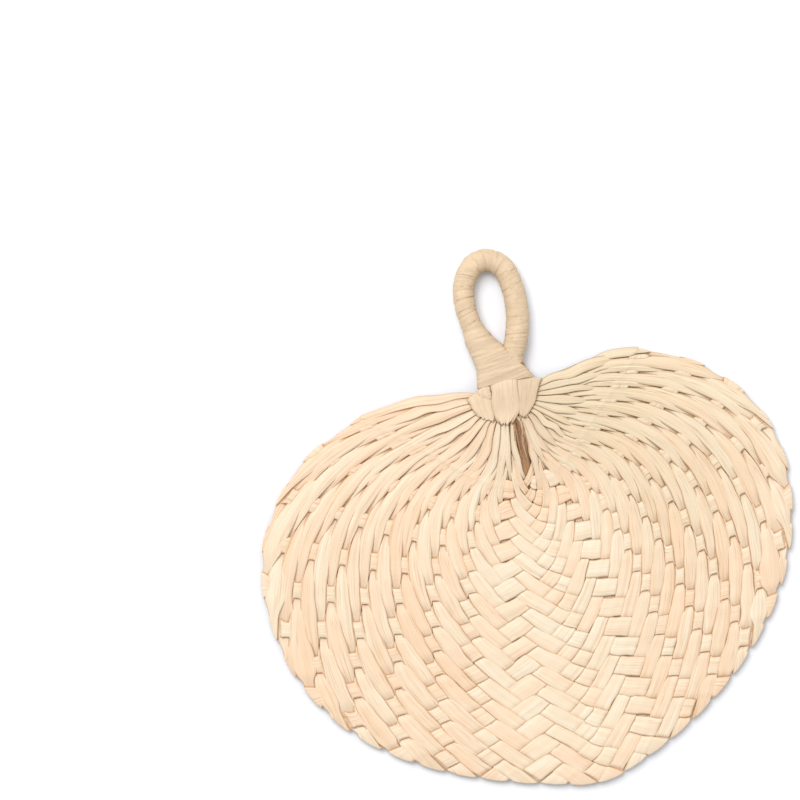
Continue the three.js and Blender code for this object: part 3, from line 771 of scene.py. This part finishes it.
# painted shade of fold creases
CREASE_SHADE = (0.5, 0.29, 0.13)
# painted shade: the olive of gaps and edges on greener strips
OLIVE_SHADE = (0.27, 0.165, 0.06)
TAPE_PALE, TAPE_OTHER = (0.82, 0.65, 0.47), (0.68, 0.53, 0.365)
# the second colour here is the tape's painted shade in its gaps and along its edges
TAPE_STREAK, TAPE_CREVICE_SHADE = (0.64, 0.485, 0.32), (0.36, 0.2, 0.09)
BUNDLE_PALE, BUNDLE_DARK = (0.5, 0.28, 0.12), (0.22, 0.1, 0.04)
OPEN_FROM = 0.84  # a surface shows no painted gap shade from this much open sky on, as the ambient occlusion node measures it
BUMP_HIGH = 0.0006
LEAF = leaf_material("raffia_leaf", CREAM, BLUSH, STRAW, CREVICE_SHADE, 0.42)
TAPE = leaf_material("raffia_tape", TAPE_PALE, TAPE_OTHER, TAPE_STREAK, TAPE_CREVICE_SHADE, 0.65, fibre=0.7,
                     depth=0.0018, bump=0.8, shade_most=0.85, edge=0.2, blotch=(0.16, 1.8), rib_count=9.0)
BUNDLE = bundle_material()
for carried in ("neck_core", "loop_core"):
    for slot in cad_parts[carried].material_slots:
        slot.material = BUNDLE


# The blade
def stain_and_shade_of(ring):
    """Browning round the hollow and the neck, which also deepens the painted gap shade there; the greener
    strips near the neck and on the upper right, which also get darker painted edge and crease lines; and the
    calm middle of the blade, where the painted shade is weaker.
    """
    x, y = ring[..., 0], ring[..., 1]
    r = np.hypot(x, y)
    hollow = np.exp(-(((x - 2.5) / 5) ** 2 + ((y + 31) / 13) ** 2))
    browning_and_gap_shade = 0.55 * hollow + 0.48 * np.exp(-((r - 14) / 28) ** 2)
    near = smooth((85 - r) / 60) * (0.2 + 0.45 * smooth((x + y + 20) / 40))
    green_and_edge_shade = near + 0.75 * smooth((x + 0.6 * y + 20) / 60) * smooth((190 - r) / 120)
    calm = np.exp(-((x - 2) / 55) ** 4) * smooth((-y - 60) / 40)
    return np.stack([np.clip(browning_and_gap_shade, 0, 1), np.clip(green_and_edge_shade, 0, 1), calm], axis=-1)


for k in range(STRIPS):
    surface, run = strip_surface(k)
    ring = shell(surface, LEAF_T)
    leaf = attribute(ring, run[:, None] + k * STRIP_GRAIN, there_and_back(S), rng.beta(1.6, 2.0))
    name = f"leaf_strip_{k + 1:02d}"
    piece = add_mesh(f"fine_{name}", ring, LEAF, name, {"leaf": leaf, "stain_and_shade": stain_and_shade_of(ring)})


INNER_TOP, INNER_LONG = -8, 60


def inner_leaf():
    """The browned leaf end that shows in the hollow below the collar."""
    t = np.linspace(0, 1, 30)[:, None]
    x = 2.2 - 0.4 * t + 0.5 * np.sin(5 * t) + (4.6 - 3.2 * t) * S[None, :]
    y = np.broadcast_to(INNER_TOP - INNER_LONG * t, x.shape)
    xy = np.stack([x, y], axis=-1)
    z = middle(xy) - 1.3 + 0.3 * S[None, :] ** 2 + 0.15 * np.sin(9 * S[None, :] + 4 * t)
    ring = shell(np.concatenate([xy, z[..., None]], axis=2), LEAF_T)
    leaf = attribute(ring, t * INNER_LONG + INNER_GRAIN, there_and_back(S), 0.6)
    piece = add_mesh("inner_leaf", ring, LEAF, None, {"leaf": leaf, "stain_and_shade": attribute(ring, 1.0)})


inner_leaf()


FIBRES = 26
FIBRE_T = 0.16


def frayed_fibres():
    """Torn, browned fibres that curl in the hollow and out from under the collar, each a thin ribbon."""
    t = np.linspace(0, 1, 22)
    w = np.array([-1.0, 0.0, 1.0])
    for n in range(FIBRES):
        start = np.array([rng.uniform(-1.5, 5.5), rng.uniform(-15.5, -13)])
        long = rng.uniform(5, 11) if n % 2 else rng.uniform(16, 31)
        swing = rng.normal(0, 1.6) * (1.6 if long < 12 else 0.6)
        x = start[0] * (1 - 0.35 * t) + 0.9 * t + swing * np.sin(2.6 * t)
        x = x + 0.5 * np.sin(rng.uniform(4, 9) * t)
        y = start[1] - long * t + 2.5 * abs(swing) * t ** 3
        line = np.stack([x, y], axis=1)
        travel = unit(np.gradient(line, axis=0))
        side = np.stack([-travel[:, 1], travel[:, 0]], axis=1)
        half = rng.uniform(0.1, 0.28) * (1 - 0.75 * t ** 3)
        xy = line[:, None, :] + side[:, None, :] * (half[:, None] * w)[..., None]
        z = middle(xy) + 0.2 + rng.uniform(0.2, 1.3) * np.sin(np.pi * np.minimum(1, 1.1 * t))[:, None]
        ring = shell(np.concatenate([xy, z[..., None]], axis=2), FIBRE_T)
        along = (t * long)[:, None] + FIBRE_GRAIN + FIBRE_GRAIN_STEP * n
        leaf = attribute(ring, along, 0, rng.uniform(0, 1))
        stain_and_shade = attribute(ring, rng.uniform(0.6, 1.3))
        piece = add_mesh(f"frayed_fibre_{n + 1:02d}", ring, LEAF, None, {"leaf": leaf, "stain_and_shade": stain_and_shade})


frayed_fibres()


# The loop
LOOP_TOP_Z = 6.8
BINDING_LOW = 8.2
ROOT_IN = 10.6  # how far inside the binding's lower edge the loop's legs begin
ROOT_Y = BINDING_LOW + ROOT_IN
LEG_LEFT, LEG_RIGHT = -8.4, 6.2
LOOP_WIDE, LOOP_REACH = 15.0, 63.0
LOOP_SINK = 0.8  # share of its reach at which the loop is down at LOOP_TOP_Z
CORE_HIGH = 4.9  # half height of the core
CORE_WIDE = (4.8, 5.6, 6.0)  # its half width at the left root, the top and the right root
LEG_ROOT = 0.9  # share of both that is left at the roots
WRAP_TURNS = 17
WRAP_FROM, WRAP_TO = 0.045, 0.962  # shares of the loop's length
WRAP_SHARE = 0.7  # half width of the wrap in pitches: each turn laps over the last
WRAP_STEPS, WRAP_ACROSS = 64, 27
WRAP_OUT, WRAP_T = 0.94, 0.11  # how far its inner side lies outside the core, and its thickness
WRAP_GROOVES = 8
WRAP_LONG = 38.0  # millimetres of leaf to a turn
LOOP_STEPS = 2000
# Points of the loop's middle line, in shares of LOOP_WIDE and LOOP_REACH
LOOP_SHARES = [
    (LEG_LEFT / LOOP_WIDE, 0), (-0.64, 0.11), (-0.86, 0.36), (-1, 0.59), (-0.88, 0.81), (-0.4, 0.97),
    (0.2, 1), (0.74, 0.905), (0.99, 0.69), (0.97, 0.43), (0.72, 0.2), (0.5, 0.08),
    (LEG_RIGHT / LOOP_WIDE, 0),
]


def loop_line():
    """The loop's middle line, as evenly spaced points, and its length."""
    points = [
        (x * LOOP_WIDE, ROOT_Y + y * LOOP_REACH, NECK_Z + (LOOP_TOP_Z - NECK_Z) * smooth(y / LOOP_SINK))
        for x, y in LOOP_SHARES
    ]
    points = np.array([2 * np.array(points[0]) - points[1], *points, 2 * np.array(points[-1]) - points[-2]])
    step = np.sqrt(np.linalg.norm(np.diff(points, axis=0), axis=1))
    t = np.linspace(0, 1, 60, endpoint=False)[:, None]
    line = []
    for n in range(1, len(points) - 2):
        a, b, c, d = points[n - 1:n + 3]
        before, here, after = step[n - 1:n + 2]
        start = ((b - a) / before - (c - a) / (before + here) + (c - b) / here) * here
        end = ((c - b) / here - (d - b) / (here + after) + (d - c) / after) * here
        line.append((2 * t ** 3 - 3 * t ** 2 + 1) * b + (t ** 3 - 2 * t ** 2 + t) * start
                    + (3 * t ** 2 - 2 * t ** 3) * c + (t ** 3 - t ** 2) * end)
    return even_steps(np.vstack([*line, points[-2:-1]]), LOOP_STEPS)


LOOP, LOOP_LENGTH = loop_line()
LOOP_TANGENT = unit(np.gradient(LOOP, axis=0))


def loop_point(share, angle, outside):
    """Points at a share of the loop's length, or beyond its ends, an angle round it and so far outside."""
    share, angle, outside = np.broadcast_arrays(share, angle, outside)
    inside = np.clip(share, 0, 1)
    at = inside * LOOP_STEPS
    low = np.minimum(LOOP_STEPS - 1, np.floor(at).astype(int))
    f = (at - low)[..., None]
    centre = LOOP[low] * (1 - f) + LOOP[low + 1] * f
    along = unit(LOOP_TANGENT[low] * (1 - f) + LOOP_TANGENT[low + 1] * f)
    centre = centre + along * ((share - inside) * LOOP_LENGTH)[..., None]
    side = unit(np.cross(along, [0, 0, 1]))
    rise = unit(np.cross(side, along))
    left, top, right = CORE_WIDE
    to_top, to_right = smooth(share * 2), smooth(share * 2 - 1)
    wide = np.where(share < 0.5, left + (top - left) * to_top, top + (right - top) * to_right)
    slim = LEG_ROOT + (1 - LEG_ROOT) * smooth(np.minimum(share, 1 - share) / 0.1)
    return (centre + side * ((wide * slim + outside) * np.cos(angle))[..., None]
            + rise * ((CORE_HIGH * slim + outside) * np.sin(angle))[..., None])


def loop_wrap():
    """One flat strip wound along the loop, each turn lying on the last."""
    pitch = (WRAP_TO - WRAP_FROM) / (WRAP_TURNS + 1)
    turn = np.arange(-0.6 * WRAP_STEPS, (WRAP_TURNS + 2.0) * WRAP_STEPS + 1) / WRAP_STEPS
    w = np.linspace(-1, 1, WRAP_ACROSS)
    ripple = slow_noise(len(turn), 5, 0.07) + slow_noise(len(turn), 17, 0.09)
    wander = slow_noise(len(turn), 24, 0.1)
    share = WRAP_FROM + pitch * (turn + 0.5 + wander)[:, None] + WRAP_SHARE * pitch * w
    base = WRAP_OUT - 0.07 * w[None, :] + ripple[:, None] * (0.7 + 0.3 * w[None, :])
    for _ in range(WRAP_GROOVES):
        at = rng.uniform(-0.8, 0.8) + slow_noise(len(turn), 30, 0.35)
        base = base + rng.uniform(-0.24, 0.17) * np.exp(-((w[None, :] - at[:, None]) / 0.1) ** 2)
    angle = np.pi * (1 - 2 * turn[:, None])
    outer = loop_point(share, angle, base + WRAP_T - 0.07 * w[None, :] ** 6)
    inner = loop_point(share, angle, base)
    ring = closed_rings(outer, inner)
    tone = 0.75 + 0.15 * np.sin(turn * 2.3)
    leaf = attribute(ring, (turn * WRAP_LONG)[:, None], there_and_back(w), tone[:, None])
    add_mesh("fine_loop_wrap", ring, TAPE, "loop_wrap", {"leaf": leaf})


# The neck
# The binding runs from the blade up onto the left leg and leaves the right leg free along a slant.
# Each row is Y, its left side, its right side and its half height.
BINDING = np.array([
    (8.0, -17.6, 17.4, 6.95), (12, -16.9, 15.0, 7.15), (18, -15.9, 11.2, 7.2), (24, -16.7, 7.8, 7.1),
    (30, -18.4, 2.6, 6.9), (36, -19.5, -2.2, 6.7), (42, -20.3, -5.6, 6.5), (48, -20.7, -7.6, 6.35),
])
BINDING_PITCH = 6.5
BINDING_CLIMB = 0.17
BINDING_LAP, BINDING_T = 0.2, 0.35
BINDING_FOOT, BINDING_TOP = 8.0, 45


def neck_binding():
    """Leaf wound round the neck, its laps climbing a little to one side."""
    rows, sides = 84, 132
    angle = np.linspace(0, 2 * np.pi, sides, endpoint=False)[:, None]
    top = BINDING_TOP + 3.0 * np.cos(angle)
    foot = BINDING_FOOT - 1.6 * np.maximum(0, -np.cos(angle)) ** 2
    y = foot + (top - foot) * np.linspace(0, 1, rows)[None, :]
    left, right, high = (np.interp(y, BINDING[:, 0], BINDING[:, n]) for n in (1, 2, 3))
    power = 2.0 + (1 - smooth((y - BINDING_FOOT) / 26))
    c, s = np.cos(angle), np.sin(angle)
    r = 1 / (abs(c) ** power + abs(s) ** power) ** (1 / power)
    x = (left + right) / 2 + (right - left) / 2 * r * c
    phase = (y - BINDING_CLIMB * x * np.sign(s)) / BINDING_PITCH
    lap = BINDING_LAP * (phase - np.floor(phase)) ** 1.5
    fold = sum(0.07 * np.sin(phase * k + 2.1 * k + 3 * c) for k in (5.3, 9.1, 14.7))
    out = (lap + fold) * (1 - smooth((y - top + 9) / 9)) - 0.1 - 0.5 * smooth((y - top + 7) / 7)
    middle_z = NECK_Z + (LOOP_TOP_Z - NECK_Z) * smooth((y - ROOT_Y) / LOOP_REACH / LOOP_SINK)
    outer = np.stack([x + out * c, y, middle_z + (high + out) * r * s], axis=-1)
    inner = np.stack([x + (out - BINDING_T) * c, y, middle_z + (high + out - BINDING_T) * r * s], axis=-1)
    ring = closed_rings(outer, inner)
    both = there_and_back(phase)
    tone = 0.45 + 0.15 * np.sin(np.floor(both) * 2.7)
    leaf = attribute(ring, there_and_back(x) * 1.4, (both - np.floor(both)) * 2 - 1, tone)
    add_mesh("fine_neck_binding", ring, TAPE, "neck_binding", {"leaf": leaf}, closed=True)


COLLAR_T, COLLAR_LONG = 0.28, 24
COLLAR_LOW = 1.7


def collar_height(x, y, most):
    """How far a collar leaf lies over the neck's middle: it slopes from the binding down to the blade."""
    low = COLLAR_LOW
    ridge = low + (most - low) * smooth((y + 13) / (BINDING_LOW + 13))
    across = np.clip(abs(x - NECK_X) / 23, 0, 1)
    return low + (ridge - low) * (1 - across ** 2.4)


def collar_leaf(name, node, top, bottom, bulges, lift, tone, creases=5, most=6.0, face=1):
    """A folded end of the binding leaf. Its top and bottom edges are left X, left Y, right X and right Y."""
    rows, columns = 30, 23
    t = np.linspace(0, 1, rows)[:, None]
    w = np.linspace(0, 1, columns)[None, :]
    bulge = np.sin(np.pi * t ** 1.6) * (-bulges[0] * (1 - w) + bulges[1] * w)
    x = (top[0] * (1 - w) + top[2] * w) * (1 - t) + (bottom[0] * (1 - w) + bottom[2] * w) * t + bulge
    y = (top[1] * (1 - w) + top[3] * w) * (1 - t) + (bottom[1] * (1 - w) + bottom[3] * w) * t
    ragged = [slow_noise(rows, 5, 0.22)[:, None] for _ in range(2)]
    x = x + 0.25 * np.sin(7 * t + 3 * w) + ragged[0] * (1 - w) ** 3 + ragged[1] * w ** 3
    y = y + 0.35 * np.sin(5.3 * w + 2 * t) * t + slow_noise(columns, 2, 0.7)[None, :] * t ** 5
    z = collar_height(x, y, most) + lift - 0.3 * abs(2 * w - 1) ** 7 - 0.35 * t ** 8
    for _ in range(creases):
        at = rng.uniform(0.08, 0.92) + 0.12 * (t - 0.5) * rng.normal()
        z = z + rng.uniform(-0.16, 0.12) * np.exp(-((w - at) / 0.05) ** 2)
    surface = np.stack([x, y, NECK_Z + face * z], axis=-1)
    ring = shell(surface, COLLAR_T)
    leaf = attribute(ring, t * COLLAR_LONG + COLLAR_GRAIN * tone, there_and_back(w * 2 - 1), tone)
    stain_and_shade = attribute(ring, 0.1 + 0.5 * t ** 6)
    add_mesh(name, ring, TAPE, node, {"leaf": leaf, "stain_and_shade": stain_and_shade})


loop_wrap()
neck_binding()
collar_leaf("fine_collar_left", "collar_left", (-25.2, 2.2, -9.6, 9.4), (-20.9, -8.6, -10.6, -14.7),
            bulges=(0, 0), lift=0.1, tone=0.2, creases=11)
collar_leaf("fine_collar_left_fold", "collar_left", (-19.3, 5.8, -9.9, 9.0), (-15.4, 0.8, -10.8, -1.2),
            bulges=(0.3, 0), lift=0.34, tone=0.1, creases=2)
collar_leaf("fine_collar_centre", "collar_centre", (-10.0, 9.4, 7.3, 9.9), (-9.4, -16.4, -0.6, -17.2),
            bulges=(1.6, 3.5), lift=0.4, tone=0.05, most=6.35)
collar_leaf("fine_collar_right", "collar_right", (4.6, 9.6, 21.6, 6.1), (3.6, -13.0, 7.2, -15.4),
            bulges=(0, 2.0), lift=0.2, tone=0.3)
collar_leaf("fine_collar_back", "collar_back", (-17.5, 6, 17.5, 6), (-15, -14, 13, -14),
            bulges=(3, 3), lift=0.3, tone=0.3, most=5.9, face=-1)


# Floor, light and camera, in metres
FLOOR_HALF = 3.0
FLOOR_BELOW = 0.0002
FLOOR_WHITE = (0.845, 0.87, 0.925, 1)
SKY, SKY_STRENGTH = (1.0, 0.965, 0.91, 1), 0.56


def floor():
    mesh = bpy.data.meshes.new("floor")
    h = FLOOR_HALF
    mesh.from_pydata([(-h, -h, 0), (h, -h, 0), (h, h, 0), (-h, h, 0)], [], [(0, 1, 2, 3)])
    material, nodes, links = new_material("floor_white")
    shader = nodes.new("ShaderNodeBsdfPrincipled")
    shader.inputs["Base Color"].default_value = FLOOR_WHITE
    shader.inputs["Roughness"].default_value = 0.9
    shader.inputs["Specular IOR Level"].default_value = 0.1
    output = nodes.new("ShaderNodeOutputMaterial")
    links.new(shader.outputs[0], output.inputs["Surface"])
    mesh.materials.append(material)
    obj = new_object("floor", mesh)
    obj.location = (0, 0, -FLOOR_BELOW)


def area_light(name, plan, height, size, power):
    """A square lamp that looks at the middle of the fan. Its place in plan is right and up on the photo."""
    place_m = (*turned(*plan), height)
    light = bpy.data.lights.new(name, "AREA")
    light.energy = power
    light.size = size
    obj = new_object(name, light)
    obj.location = place_m
    direction = -np.array(place_m)
    direction = direction / np.linalg.norm(direction)
    obj.rotation_euler = (math.acos(-direction[2]), 0, math.atan2(direction[1], direction[0]) - math.pi / 2)


PHOTO_TURN = math.radians(-11.2)
PHOTO_MIDDLE = place([-64.2, 9.6, 0])
PHOTO_SIDE = 0.48  # what the photo's side shows
CAMERA_HIGH = 2.2
SENSOR = 36


def camera():
    data = bpy.data.cameras.new("camera")
    data.sensor_width = SENSOR
    data.lens = SENSOR * CAMERA_HIGH / PHOTO_SIDE
    obj = new_object("camera", data)
    obj.location = (PHOTO_MIDDLE[0], PHOTO_MIDDLE[1], CAMERA_HIGH)
    obj.rotation_euler = (0, 0, PHOTO_TURN)
    bpy.context.scene.camera = obj


def turned(x, y):
    """A direction on the photo, right and up, as one in the frame."""
    c, s = math.cos(PHOTO_TURN), math.sin(PHOTO_TURN)
    return x * c - y * s, x * s + y * c


floor()
camera()
area_light("key", (-0.75, 1.09), 2.1, size=1.5, power=48)
area_light("fill", (0.9, 0.3), 1.8, size=1.6, power=6)
world = bpy.data.worlds.new("studio")
world.use_nodes = True
background = world.node_tree.nodes["Background"]
background.inputs["Color"].default_value = SKY
background.inputs["Strength"].default_value = SKY_STRENGTH
bpy.context.scene.world = world
bpy.context.scene.view_settings.view_transform = "Standard"
